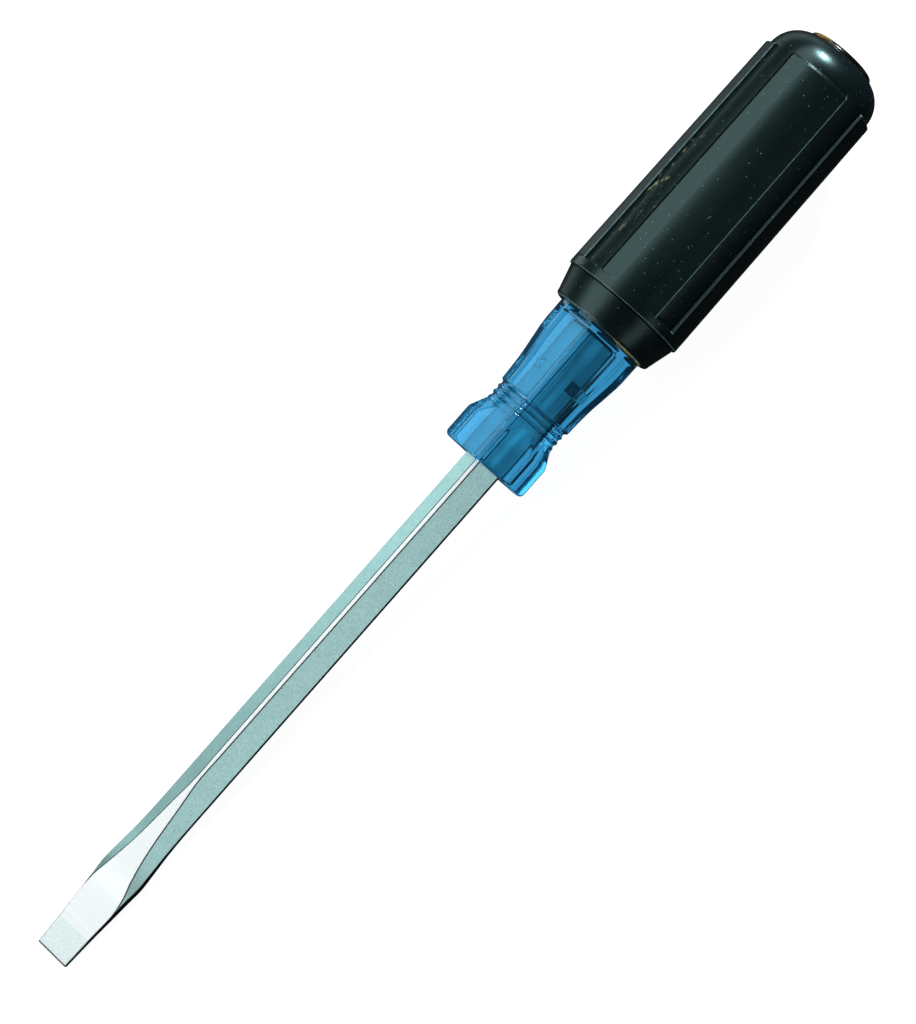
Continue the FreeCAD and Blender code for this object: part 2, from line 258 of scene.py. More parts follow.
def skin(name, rings, looped=False, sharp_angle=30.0):
    """A closed mesh over rings of points that run along the tool, capped or looped at its ends."""
    count = len(rings[0])
    points = [point for ring in rings for point in ring]
    faces = []
    pairs = list(zip(range(len(rings) - 1), range(1, len(rings))))
    if looped:
        pairs.append((len(rings) - 1, 0))
    for near, far in pairs:
        for index in range(count):
            after = (index + 1) % count
            faces.append((near * count + index, near * count + after,
                          far * count + after, far * count + index))
    if not looped:
        for ring, order in ((0, -1), (len(rings) - 1, 1)):
            centre = [sum(axis) / count for axis in zip(*rings[ring])]
            points.append(tuple(centre))
            for index in range(count):
                edge = (ring * count + index, ring * count + (index + 1) % count)
                faces.append((len(points) - 1,) + edge[::order])
    mesh = bpy.data.meshes.new(name)
    mesh.from_pydata([Vector(point) * MM for point in points], [], faces)
    mesh.polygons.foreach_set("use_smooth", [True] * len(mesh.polygons))
    mesh.set_sharp_from_angle(angle=math.radians(sharp_angle))
    piece = bpy.data.objects.new(name, mesh)
    bpy.context.scene.collection.objects.link(piece)
    return piece


def mark_edges(piece, marked):
    """Give chosen points of a mesh the value 1 under the name "edge", for its material to read."""
    marks = piece.data.attributes.new("edge", "FLOAT", "POINT")
    for index in marked:
        marks.data[index].value = 1.0


def stands_for(piece, node, material):
    """Put a piece in place of a node of the design, with its material."""
    piece.data.materials.append(material)
    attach(piece, "root")
    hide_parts(node)


# ---- blade ----

def rounded_section(distance, corners):
    """A closed section whose corners are each rounded by three points."""
    ring = []
    for index, corner in enumerate(corners):
        before = Vector(corners[index - 1])
        here = Vector(corner)
        after = Vector(corners[(index + 1) % len(corners)])
        towards_before = before - here
        towards_after = after - here
        shorter = min(towards_before.length, towards_after.length)
        cut = min(EDGE_ROUND, shorter * EDGE_ROUND_SHARE)
        start = here + towards_before.normalized() * cut
        end = here + towards_after.normalized() * cut
        middle = (start + end) * 0.25 + here * 0.5
        for point in (start, middle, end):
            ring.append((distance, point.x, point.y))
    return ring


def bar_ring(distance, thick, wide, flat, side):
    """The blade's eight-sided section: two flats, two sides and four sloping faces."""
    upper = [(wide, side), (flat, thick), (-flat, thick), (-wide, side)]
    return rounded_section(distance, upper + [(-y, -z) for y, z in upper])


def blade_ring(distance):
    """The bar's section at a distance from its end, before it is squeezed."""
    place = min(distance, STRAIGHT_START)
    return bar_ring(distance, *[through(TIP_SECTIONS, place, column) for column in (1, 2, 3, 4)])


def make_blade():
    """The whole bar, tip to tang, with softly broken edges and the squeezed waist at its wings."""
    rings = []
    for along, wide, thick in END_RIM:
        rings.append([(END_BEVEL * along, y * wide, z * thick) for _, y, z in blade_ring(0.0)])
    stations = [END_BEVEL] + spread(0.6, GRIND_END + 4, 130) + spread(STRAIGHT_START, WINGS_START, 20)
    rings += [blade_ring(distance) for distance in stations]
    for distance in (WINGS_START, WINGS_END):
        rings.append(bar_ring(distance, CORNER_REACH, WING_ROOT, CORNER_HALF, HALF_DIAGONAL - WING_ROOT))
    rings += [blade_ring(WINGS_END), blade_ring(TANG_END - TANG_BEVEL)]
    end_reach = CORNER_REACH - TANG_BEVEL
    rings.append(bar_ring(TANG_END, end_reach, end_reach, CORNER_HALF, CORNER_HALF))
    bar = skin("screwdriver_bar", rings, sharp_angle=FACE_BORDER_ANGLE)
    count = len(rings[0])
    end_rim = range((len(END_RIM) + 1) * count)
    corner_middles = range(1, len(rings) * count, POINTS_PER_CORNER)
    # the marked points get painted shade in the steel's material
    mark_edges(bar, [*end_rim, *corner_middles])
    return bar


def make_wings():
    """The swaged ears that anchor the bar, seen through the plastic."""
    half = WING_HALF_THICKNESS
    outline = [(WING_REACH, half), (-WING_REACH, half), (-WING_REACH, -half), (WING_REACH, -half)]
    rings = []
    for distance, share in ((WINGS_START, WING_EDGE_SHARE), (WINGS_START + WING_EDGE, 1.0),
                            (WINGS_END - WING_EDGE, 1.0), (WINGS_END, WING_EDGE_SHARE)):
        rings.append(rounded_section(distance, [(y * share, z * share) for y, z in outline]))
    return skin("anchor_wings", rings)


# ---- plastic core ----

def core_outline(distance):
    """Radius of the core before its grooves, facets and rounded front edge."""
    if distance < NECK_END:
        cone = BOLSTER_RADIUS - (distance - COLLAR_END) * CONE_SLOPE
        return max(soft_min(BOLSTER_RADIUS, cone, COLLAR_SOFTNESS), NECK_RADIUS)
    return min(through(BODY_FLARE, distance, 1), NECK_RADIUS + (distance - NECK_END) * STEP_SLOPE)


def core_radius(distance):
    """Radius of the core with its rounded front edge and ring grooves."""
    radius = core_outline(distance)
    if distance < FACE + FRONT_ROUND:
        rise = FACE + FRONT_ROUND - distance
        radius += math.sqrt(max(FRONT_ROUND ** 2 - rise ** 2, 0)) - FRONT_ROUND
    for groove in RING_GROOVES:
        reach = abs(distance - groove) / RING_GROOVE_HALF
        if reach < 1:
            radius -= RING_GROOVE_DEPTH * math.sqrt(1 - reach ** 2)
    return radius


def facet_floor(distance):
    """Distance of a long facet from the tool's axis. It lifts out in a round at its end."""
    depth = BOLSTER_FACET_DEPTH
    depth += (NECK_FACET_DEPTH - BOLSTER_FACET_DEPTH) * ease(distance, COLLAR_END, NECK_START)
    depth += (BODY_FACET_DEPTH - NECK_FACET_DEPTH) * ease(distance, NECK_END, NECK_END + NECK_STEP)
    runout = min(max(distance - FACET_END + FACET_RUNOUT, 0.0), FACET_RUNOUT)
    lift = FACET_RUNOUT - math.sqrt(FACET_RUNOUT ** 2 - runout ** 2)
    return core_outline(distance) - depth + lift


def facet_reach(distance):
    """Half the angle that a facet spans, with room for a ridge at both ends of that range."""
    share = min(facet_floor(distance) / core_radius(distance), 1.0)
    room = RIDGE_HALF_ANGLE * 1.5
    return min(max(math.degrees(math.acos(share)), room), 180 / FACETS - room)


def core_ring(distance, share=1.0):
    """A ring with three points on each ridge between a facet and the round."""
    outline = core_radius(distance)
    floor = facet_floor(distance)
    reach = facet_reach(distance)
    half = [part * (reach - RIDGE_HALF_ANGLE) for part in FACET_POINTS]
    half += [reach - RIDGE_HALF_ANGLE, reach, reach + RIDGE_HALF_ANGLE]
    half += spread(reach + RIDGE_HALF_ANGLE, 180 / FACETS, 4)[1:]
    ring = []
    for facet in range(FACETS):
        for local in [-angle for angle in half[:0:-1]] + half[:-1]:
            radius = outline
            if distance < FACETS_GONE:
                radius = soft_min(outline, floor / math.cos(math.radians(local)), RIDGE_SOFTNESS)
            ring.append(around(distance, radius * share, FACET_CLOCK + facet * 360 / FACETS + local))
    return ring


def ridge_points(rings):
    """Points that get painted shade: on the ridges beside the facets, and round the bottoms of the ring
    grooves.
    """
    points = []
    points_per_facet = len(rings[0]) // FACETS
    groove_bottom = RING_GROOVE_HALF * RING_GROOVE_BOTTOM
    for index, ring in enumerate(rings):
        distance = ring[0][0]
        first = index * len(ring)
        in_groove = any(abs(distance - groove) < groove_bottom for groove in RING_GROOVES)
        depth = core_radius(distance) - facet_floor(distance)
        if in_groove:
            points += range(first, first + len(ring))
        elif FACE + RIDGE_FRONT_GAP < distance < FACET_END and depth > RIDGE_MIN_DEPTH:
            for facet in range(FACETS):
                start = first + facet * points_per_facet
                points += [start + RIDGE_PLACE, start + points_per_facet - RIDGE_PLACE]
    return points


def make_core():
    """The plastic handle, with a rounded front edge, and its core inside the sleeve."""
    stations = [FACE + FRONT_ROUND * (1 - math.cos(math.radians(angle))) for angle in spread(6, 90, 12)]
    for stretch in CORE_STRETCHES:
        stations += spread(*stretch)
    rings = [core_ring(FACE, share) for share in FACE_SHARES]
    rings += [core_ring(distance) for distance in stations]
    core = skin("handle_plastic", rings, sharp_angle=50)
    mark_edges(core, ridge_points(rings))
    return core


# ---- rubber sleeve ----

def land_shape(offset):
    """Height of a land at an angle from its middle: 1 on the crown, 0 in the channel.

    A fine groove dips beside one of its walls.
    """
    angle = abs(offset)
    if angle < CROWN_HALF_ANGLE:
        return 1.0
    crown_edge = math.radians(CROWN_HALF_ANGLE)
    land_edge = math.radians(LAND_HALF_ANGLE)
    here = math.radians(min(angle, LAND_HALF_ANGLE))
    across = CROWN_RADIUS * LAND_EDGE_RADIUS * math.sin(land_edge - crown_edge)
    flank = across / (CROWN_RADIUS * math.sin(here - crown_edge)
                      + LAND_EDGE_RADIUS * math.sin(land_edge - here))
    wall = ease(angle, LAND_HALF_ANGLE - WALL_ANGLE / 2, LAND_HALF_ANGLE + WALL_ANGLE / 2)
    groove = max(1 - abs(offset - GROOVE_ANGLE) / GROOVE_HALF_ANGLE, 0.0) * GROOVE_DEPTH
    return (1.0 - CROWN_RADIUS + flank) * (1 - wall) - groove


def land_offsets():
    """Angles from a land's middle, close together where its walls turn."""
    groove = abs(GROOVE_ANGLE)
    half = spread(0.0, CROWN_HALF_ANGLE - 0.3, 7)
    half += spread(CROWN_HALF_ANGLE, groove - GROOVE_HALF_ANGLE, 6)
    half += [groove, groove + GROOVE_HALF_ANGLE]
    half += spread(LAND_HALF_ANGLE - WALL_ANGLE * 0.5, LAND_HALF_ANGLE + WALL_ANGLE * 0.5, 9)
    half += spread(LAND_HALF_ANGLE + WALL_ANGLE * 0.8, 180 / LANDS, 7)
    return [-offset for offset in half[:0:-1]] + half[:-1]


def sleeve_ring(distance, floor, rise=0.0):
    """A ring of the sleeve. The floor is its radius in the channels, and the rise the lands' height."""
    ring = []
    for land in range(LANDS):
        for offset in land_offsets():
            radius = floor + rise * land_shape(offset)
            ring.append(around(distance, radius, LAND_CLOCK + land * 360 / LANDS + offset))
    return ring


def sleeve_front():
    """Distance and radius from inside the mouth, over the lip and cone, to the plain band."""
    outline = [(BORE_END, HOLE_RADIUS), (BORE_END, INNER_RADIUS)]
    outline += [(MOUTH + inside, INNER_RADIUS + height) for inside, height in LIP_INSIDE]
    for angle in spread(0, 75, 10):
        turn = math.radians(angle)
        outline.append((MOUTH + LIP_ROUND * (1 - math.cos(turn)),
                        LIP_CENTRE_RADIUS + LIP_ROUND * math.sin(turn)))
    lip_end = MOUTH + LIP_ROUND
    lip_radius = LIP_CENTRE_RADIUS + LIP_ROUND
    slope = (CONE_FOOT - lip_radius) / (RING_AT - lip_end)
    for distance in spread(lip_end + 0.25, RING_AT - 0.3, 14):
        outline.append((distance, lip_radius + (distance - lip_end) * slope))
    outline += [(RING_AT + past, radius) for past, radius in RING_SECTION]
    outline += [(distance, LAND_RADIUS) for distance in spread(RING_AT + 0.9, LAND_START - 0.1, 4)]
    return outline


def sleeve_lands():
    """Distance, channel radius and land height along the gripping length."""
    stations = []
    for distance in spread(LAND_START, LAND_START + LAND_FRONT_STEP, 7):
        drop = ease(distance + 0.02, LAND_START, LAND_START + LAND_FRONT_STEP)
        stations.append((distance, LAND_RADIUS - drop, drop))
    for distance in spread(LAND_START + 1.0, LAND_END - 0.8, 60):
        share = (distance - LAND_START) / (LAND_END - LAND_START)
        stations.append((distance, CHANNEL_FRONT + (CHANNEL_BACK - CHANNEL_FRONT) * share,
                         LAND_HEIGHT_FRONT + (LAND_HEIGHT_BACK - LAND_HEIGHT_FRONT) * share))
    for distance in spread(LAND_END - LAND_BACK_STEP, LAND_END, 9):
        left = 1 - ease(distance, LAND_END - LAND_BACK_STEP + 0.04, LAND_END - 0.04)
        stations.append((distance, CHANNEL_BACK, LAND_HEIGHT_BACK * left))
    return stations


def sleeve_dome():
    """Distance and radius over the domed end and a little way into its hole."""
    outline = []
    for angle in spread(3, DOME_TURN, 30):
        turn = math.radians(angle)
        outline.append((LAND_END + DOME_RADIUS * math.sin(turn),
                        DOME_CENTRE_HEIGHT + DOME_RADIUS * math.cos(turn)))
    return outline + [(HOLE_RIM - 0.02, HOLE_RADIUS + 0.12), (HOLE_RIM - 0.1, HOLE_RADIUS),
                      (HOLE_RIM - 0.5, HOLE_RADIUS)]


def highlight_points(stations, rings):
    """Points that get a painted highlight: on one edge of each land, round the ring's shoulder, and on part
    of the mouth's lip.
    """
    offsets = land_offsets()
    land_edge = LAND_HALF_ANGLE - WALL_ANGLE * 0.5
    edges = [place for place, offset in enumerate(offsets) if abs(offset - land_edge) < 0.3]
    points = []
    for index, (distance, radius, *rise) in enumerate(stations):
        ring = rings[index]
        first = index * len(ring)
        if rise and rise[0] > 0:
            points += [first + land * len(offsets) + edge for land in range(LANDS) for edge in edges]
        elif abs(distance - RING_AT - RING_SHOULDER) < 0.05:
            points += range(first, first + len(ring))
        elif distance < MOUTH + HIGHLIGHT_LIP_LENGTH and radius > LIP_CENTRE_RADIUS:
            points += [first + place for place, (_, y, z) in enumerate(ring)
                       if y > HIGHLIGHT_LIP_Y and z > HIGHLIGHT_LIP_Z]
    return points


def make_sleeve():
    """The rubber sleeve, from inside its mouth over the outside to the hole in its domed end."""
    stations = sleeve_front() + sleeve_lands() + sleeve_dome()
    rings = [sleeve_ring(*station) for station in stations]
    sleeve = skin("rubber_sleeve", rings, looped=True, sharp_angle=38)
    mark_edges(sleeve, highlight_points(stations, rings))
    return sleeve


# ---- butt insert and adhesive ----

def make_insert():
    """A plug with a rounded edge and a low cap."""
    profile = [(INSERT_START, INSERT_RADIUS - INSERT_LEAD_DROP), (INSERT_START + INSERT_LEAD, INSERT_RADIUS),
               (INSERT_SHOULDER - 0.5, INSERT_RADIUS)]
    for angle in spread(0, 80, 12):
        turn = math.radians(angle)
        profile.append((INSERT_SHOULDER + (INSERT_CAP_START - INSERT_SHOULDER) * math.sin(turn),
                        INSERT_CAP_RADIUS + (INSERT_RADIUS - INSERT_CAP_RADIUS) * math.cos(turn)))
    for share in spread(0.97, 0.04, 24):
        profile.append((BUTT - (BUTT - INSERT_CAP_START) * share ** 2, INSERT_CAP_RADIUS * share))
    rings = [[around(distance, reach, 360 * index / INSERT_POINTS) for index in range(INSERT_POINTS)]
             for distance, reach in profile]
    return skin("amber_insert", rings, sharp_angle=40)


def make_bead():
    """Adhesive squeezed out unevenly round the core at the mouth, most of it on one side."""
    rings = []
    for inside, forward, height in BEAD_SECTION:
        ring = []
        for index in range(BEAD_POINTS):
            degrees = 360 * index / BEAD_POINTS
            angle = math.radians(degrees)
            near = 0.5 + 0.5 * math.cos(math.radians(degrees - BEAD_FULLEST))
            lumps = 0.6 + 0.25 * math.sin(7 * angle + 1.0) + 0.15 * math.sin(17 * angle + 2.2)
            swell = BEAD_LEAST + (1 - BEAD_LEAST) * near ** 3 * lumps
            ring.append(around(MOUTH + inside - forward * swell, BEAD_INSIDE + height * swell, degrees))
        rings.append(ring)
    return skin("adhesive_bead", rings, looped=True, sharp_angle=60)


# ---- materials ----
# Colours are linear red, green and blue. The scale of a noise or of specks is per metre.

PLATED_DEEP = (0.25, 0.44, 0.44)
PLATED_PALE = (0.40, 0.60, 0.59)
PLATED_BLOTCH = (0.22, 0.38, 0.39)
PLATED_SPECK = (0.11, 0.20, 0.21)
TANG_PALE = (0.80, 1.0, 1.0)
GROUND_PALE = (0.435, 0.455, 0.46)
GROUND_DEEP = (0.40, 0.43, 0.435)
BLASTED_DEEP = (0.31, 0.375, 0.38)
BLASTED_PALE = (0.41, 0.445, 0.445)
# painted shade on the steel's marked edges, narrow sides and squeezed waist
STEEL_SHADE = (0.008, 0.018, 0.02)

BLUE_CLEAR = (0.040, 0.33, 0.64)
BLUE_FLOW = (0.026, 0.235, 0.47)
BLUE_CLOUD = (0.055, 0.38, 0.68)
# painted shade along the plastic's ridges and in its ring grooves
BLUE_RIDGE_SHADE = (0.003, 0.035, 0.08)

RUBBER_DEEP = (0.0008, 0.0022, 0.0026)
RUBBER_PALE = (0.0016, 0.0034, 0.0038)
RUBBER_GRAIN = (0.010, 0.018, 0.019)
RUBBER_DUST = (0.12, 0.21, 0.20)
RUBBER_SCUFF = (0.14, 0.15, 0.07)
# painted highlight on the rubber's marked edges
RUBBER_HIGHLIGHT = (0.06, 0.11, 0.11)
SCUFFED_LENGTH = (217.0, 243.0)
SCUFFED_BAND = (7.8, 10.6)   # along +Y, in the channel on that side

AMBER_DARK = (0.0016, 0.0012, 0.0012)
# painted gold glints on the insert's rounded edge
GLINT_GOLD_DEEP = (0.10, 0.03, 0.002)
GLINT_GOLD_PALE = (0.26, 0.17, 0.03)
INNER_GLINT = (0.12, 0.24)  # along X, past the insert's shoulder
OUTER_GLINT = (0.55, 0.65)

ADHESIVE_DEEP = (0.16, 0.12, 0.01)
ADHESIVE_PALE = (0.48, 0.42, 0.04)
# painted shade on the adhesive, all round but on the -Y side
ADHESIVE_SHADE = (0.004, 0.006, 0.006)

FLOOR_DEEP = (0.10, 0.101, 0.102)
FLOOR_PALE = (0.11, 0.11, 0.11)
FLOOR_GLOW_COOL = (0.99, 0.995, 1.0)
FLOOR_GLOW = (1.0, 1.0, 1.0)


class Nodes:
    """Short ways to add nodes to one material."""

    def __init__(self, name):
        self.material = bpy.data.materials.new(name)
        self.material.use_nodes = True
        self.tree = self.material.node_tree
        self.shader = self.tree.nodes["Principled BSDF"]
        coordinates = self.tree.nodes.new("ShaderNodeTexCoord")
        self.place = coordinates.outputs["Object"]

    def add(self, kind, **settings):
        node = self.tree.nodes.new(kind)
        for key, value in settings.items():
            setattr(node, key, value)
        return node

    def set(self, socket, value):
        if isinstance(value, bpy.types.NodeSocket):
            self.tree.links.new(value, socket)
        else:
            socket.default_value = value

    def math(self, operation, first, second=0.0):
        node = self.add("ShaderNodeMath", operation=operation)
        self.set(node.inputs[0], first)
        self.set(node.inputs[1], second)
        return node.outputs[0]

    def both(self, first, second):
        """Where two masks overlap."""
        return self.math("MULTIPLY", first, second)

    def stretched(self, scale):
        node = self.add("ShaderNodeMapping")
        self.set(node.inputs["Vector"], self.place)
        node.inputs["Scale"].default_value = scale
        return node.outputs["Vector"]

    def noise(self, scale, detail=3.0, roughness=0.5, vector=None):
        node = self.add("ShaderNodeTexNoise")
        self.set(node.inputs["Vector"], vector or self.place)
        node.inputs["Scale"].default_value = scale
        node.inputs["Detail"].default_value = detail
        node.inputs["Roughness"].default_value = roughness
        return node.outputs["Fac"]

    def specks(self, scale, size, rarity):
        """Small round specks: only cells with a random value above the rarity have one."""
        node = self.add("ShaderNodeTexVoronoi")
        self.set(node.inputs["Vector"], self.place)
        node.inputs["Scale"].default_value = scale
        chosen = self.add("ShaderNodeSeparateColor")
        self.set(chosen.inputs[0], node.outputs["Color"])
        return self.both(self.math("LESS_THAN", node.outputs["Distance"], size),
                         self.math("GREATER_THAN", chosen.outputs["Red"], rarity))

    def span(self, value, low, high, bottom=0.0, top=1.0):
        """Map a value from one range onto another, clamped."""
        node = self.add("ShaderNodeMapRange")
        self.set(node.inputs["Value"], value)
        node.inputs["From Min"].default_value = low
        node.inputs["From Max"].default_value = high
        node.inputs["To Min"].default_value = bottom
        node.inputs["To Max"].default_value = top
        return node.outputs["Result"]

    def between(self, value, start, end, softness):
        """1 between two places in millimetres, fading to 0 outside them."""
        rise = self.span(value, (start - softness) * MM, start * MM)
        fall = self.span(value, (end + softness) * MM, end * MM)
        return self.both(rise, fall)

    def mix(self, share, first, second):
        """The first colour, or the second where the share is 1."""
        node = self.add("ShaderNodeMix", data_type="RGBA")
        self.set(node.inputs["Factor"], share)
        self.set(node.inputs["A"], first if isinstance(first, bpy.types.NodeSocket) else (*first, 1.0))
        self.set(node.inputs["B"], second if isinstance(second, bpy.types.NodeSocket) else (*second, 1.0))
        return node.outputs["Result"]

    def bump(self, height, strength, distance):
        """Relief over the whole surface. The distance is in metres."""
        node = self.add("ShaderNodeBump")
        self.set(node.inputs["Height"], height)
        node.inputs["Strength"].default_value = strength
        node.inputs["Distance"].default_value = distance
        self.set(self.shader.inputs["Normal"], node.outputs["Normal"])

    def edge(self):
        """1 along the marked edges of the mesh, fading to 0 at their neighbours."""
        return self.add("ShaderNodeAttribute", attribute_name="edge").outputs["Fac"]

    def axis(self, letter):
        """Place along one axis of the part's frame, in metres."""
        node = self.add("ShaderNodeSeparateXYZ")
        self.set(node.inputs[0], self.place)
        return node.outputs[letter]

    def facing(self, letter):
        """How squarely the surface faces along one axis, either way, from 0 to 1."""
        geometry = self.add("ShaderNodeNewGeometry")
        split = self.add("ShaderNodeSeparateXYZ")
        self.set(split.inputs[0], geometry.outputs["Normal"])
        return self.math("ABSOLUTE", split.outputs[letter])

    def surface(self, **values):
        """Values of the shader that come from nodes, or are constant."""
        for key, value in values.items():
            self.set(self.shader.inputs[key.replace("_", " ")], value)

    def fixed(self, **values):
        """Constant values that belong directly on the shader."""
        for key, value in values.items():
            self.shader.inputs[key.replace("_", " ")].default_value = value


def steel():
    """Plated grey-green bar with painted shade on its edges, narrow sides and waist, bright cross-ground
    flats and a grit-blasted end.
    """
    n = Nodes("plated_steel")
    along = n.axis("X")
    ground = n.span(n.facing("Z"), 0.90, 0.93)
    blasted = n.math("LESS_THAN", along, BLASTED_LENGTH * MM)
    tang = n.math("GREATER_THAN", along, FACE * MM)
    grain = n.noise(2600.0, 2.0, 0.6)
    blotch = n.noise(160.0, 4.0, 0.6)
    lines = n.noise(900.0, 3.0, 0.7, n.stretched((2.2, 0.05, 0.3)))
    plated = n.mix(n.span(grain, 0.3, 0.7), PLATED_DEEP, PLATED_PALE)
    plated = n.mix(n.span(blotch, 0.45, 0.8, 0.0, 0.3), plated, PLATED_BLOTCH)
    plated = n.mix(n.specks(1100.0, 0.13, 0.7), plated, PLATED_SPECK)
    plated = n.mix(n.both(tang, 0.3), plated, TANG_PALE)
    bright = n.mix(n.span(lines, 0.3, 0.75), GROUND_PALE, GROUND_DEEP)
    grit = n.mix(n.span(grain, 0.35, 0.65), BLASTED_DEEP, BLASTED_PALE)
    colour = n.mix(ground, plated, n.mix(blasted, bright, grit))
    colour = n.mix(steel_shade(n, along), colour, STEEL_SHADE)
    n.surface(Base_Color=colour, Metallic=1.0)
    rough = n.span(lines, 0.3, 0.7, 0.30, 0.34)
    n.surface(Roughness=n.math("ADD", rough, n.both(ground, 0.14)))
    relief = n.math("ADD", n.both(grain, n.math("ADD", blasted, 0.25)), n.both(lines, n.both(ground, 0.15)))
    n.bump(relief, 0.25, 0.06 * MM)
    return n.material


def steel_shade(n, along):
    """Painted shade on the steel: its edges, its narrow sides, and the squeezed waist between the wings."""
    edges = n.span(n.edge(), 0.15, 0.75)
    at_wings = n.between(along, WINGS_START - 0.05, WINGS_END + 0.05, 0.1)
    sides = n.both(n.span(n.facing("Y"), 0.90, 0.97), n.math("SUBTRACT", 1.0, at_wings))
    waist = n.both(n.between(n.axis("Y"), -HALF_DIAGONAL, 0.1 - WING_ROOT, 0.1),
                   n.math("GREATER_THAN", n.axis("Z"), CORNER_HALF * MM))
    return n.math("MAXIMUM", n.math("MAXIMUM", edges, n.both(at_wings, waist)), sides)


def blue_plastic():
    """Clear blue moulded plastic, with painted shade along its ridges and ring groove bottoms, and faint flow
    lines along the tool.
    """
    n = Nodes("blue_plastic")
    flow = n.noise(420.0, 3.0, 0.6, n.stretched((0.1, 1.0, 1.0)))
    cloud = n.noise(90.0, 4.0, 0.55)
    colour = n.mix(n.span(flow, 0.35, 0.7), BLUE_CLEAR, BLUE_FLOW)
    colour = n.mix(n.span(cloud, 0.4, 0.75, 0.0, 0.4), colour, BLUE_CLOUD)
    broken = n.span(n.noise(300.0, 2.0, 0.5), 0.35, 0.55, 0.5, 1.0)
    # painted shade along the marked ridges and groove bottoms, broken up by noise
    colour = n.mix(n.both(n.span(n.edge(), 0.2, 0.9), broken), colour, BLUE_RIDGE_SHADE)
    n.surface(Base_Color=colour, Roughness=n.span(cloud, 0.3, 0.7, 0.03, 0.07))
    n.fixed(Transmission_Weight=0.93, IOR=1.48, Specular_IOR_Level=0.08)
    n.fixed(Specular_Tint=(0.30, 0.72, 1.0, 1.0))
    n.bump(n.math("ADD", flow, n.both(n.noise(1500.0), 0.15)), 0.06, 0.2 * MM)
    return n.material


def rubber():
    """Satin green-black rubber: moulded grain, dust, painted highlights along some edges and a few yellowed
    scuffs.
    """
    n = Nodes("sleeve_rubber")
    grain = n.noise(3200.0, 2.0, 0.6)
    cloud = n.noise(55.0, 4.0, 0.6, n.stretched((0.5, 1.0, 1.0)))
    base = n.mix(n.span(cloud, 0.35, 0.7), RUBBER_DEEP, RUBBER_PALE)
    base = n.mix(n.span(grain, 0.5, 0.8, 0.0, 0.3), base, RUBBER_GRAIN)
    dust = n.math("MAXIMUM", n.specks(430.0, 0.06, 0.45), n.specks(1100.0, 0.12, 0.75))
    base = n.mix(n.both(dust, 0.5), base, RUBBER_DUST)
    scuffed = n.both(n.between(n.axis("X"), *SCUFFED_LENGTH, 4.0), n.between(n.axis("Y"), *SCUFFED_BAND, 0.6))
    rubbed = n.span(n.noise(620.0, 4.0, 0.65, n.stretched((0.45, 1.0, 1.0))), 0.60, 0.68)
    base = n.mix(n.both(n.both(scuffed, rubbed), 0.7), base, RUBBER_SCUFF)
    # painted highlight along the marked edges, broken up by noise
    painted_highlight = n.both(n.span(n.edge(), 0.1, 0.6), n.span(n.noise(700.0), 0.35, 0.6, 0.45, 1.0))
    base = n.mix(painted_highlight, base, RUBBER_HIGHLIGHT)
    n.surface(Base_Color=base, Roughness=n.span(cloud, 0.3, 0.7, 0.27, 0.35))
    n.fixed(Specular_IOR_Level=0.31, Specular_Tint=(0.60, 1.0, 0.98, 1.0))
    n.bump(n.math("ADD", grain, n.both(dust, 2.0)), 0.35, 0.05 * MM)
    return n.material


def amber_plastic():
    """Dark amber plastic: nearly black, with painted gold glints in streaks round part of its rounded edge,
    mostly on the +Y side.
    """
    n = Nodes("amber_plastic")
    along = n.axis("X")
    streak = n.noise(420.0, 2.0, 0.5, n.stretched((2.5, 0.45, 0.8)))
    inner, outer = [n.between(along, INSERT_SHOULDER + start, INSERT_SHOULDER + end, 0.08)
                    for start, end in (INNER_GLINT, OUTER_GLINT)]
    upper = n.span(n.axis("Y"), -2 * MM, 4 * MM, 0.04, 0.8)
    glint = n.both(n.math("MAXIMUM", inner, outer), n.both(upper, n.span(streak, 0.42, 0.54)))
    glint_gold = n.mix(n.span(streak, 0.5, 0.62), GLINT_GOLD_DEEP, GLINT_GOLD_PALE)
    n.surface(Base_Color=n.mix(glint, AMBER_DARK, glint_gold))
    n.surface(Roughness=n.span(streak, 0.3, 0.7, 0.14, 0.24))
    n.fixed(Specular_IOR_Level=0.2)
    n.bump(streak, 0.1, 0.1 * MM)
    return n.material


def adhesive():
    """Lumpy yellow adhesive, with painted shade all round but on the -Y side."""
    n = Nodes("cured_adhesive")
    lumps = n.noise(600.0, 3.0, 0.6)
    colour = n.mix(n.span(lumps, 0.3, 0.7), ADHESIVE_DEEP, ADHESIVE_PALE)
    # painted shade everywhere but on the -Y side
    colour = n.mix(n.span(n.axis("Y"), -9.5 * MM, -4 * MM), colour, ADHESIVE_SHADE)
    n.surface(Base_Color=colour, Roughness=n.span(lumps, 0.3, 0.7, 0.35, 0.45))
    n.bump(lumps, 0.3, 0.1 * MM)
    return n.material


def pale_floor():
    """A near-white floor that gives off light of its own, so it takes hardly any shadow."""
    n = Nodes("pale_floor")
    tone = n.noise(4.0, 2.0)
    n.surface(Base_Color=n.mix(tone, FLOOR_DEEP, FLOOR_PALE), Roughness=0.9)
    n.surface(Emission_Color=n.mix(tone, FLOOR_GLOW_COOL, FLOOR_GLOW))
    n.fixed(Emission_Strength=0.97, Specular_IOR_Level=0.0)
    return n.material


# ---- stage ----

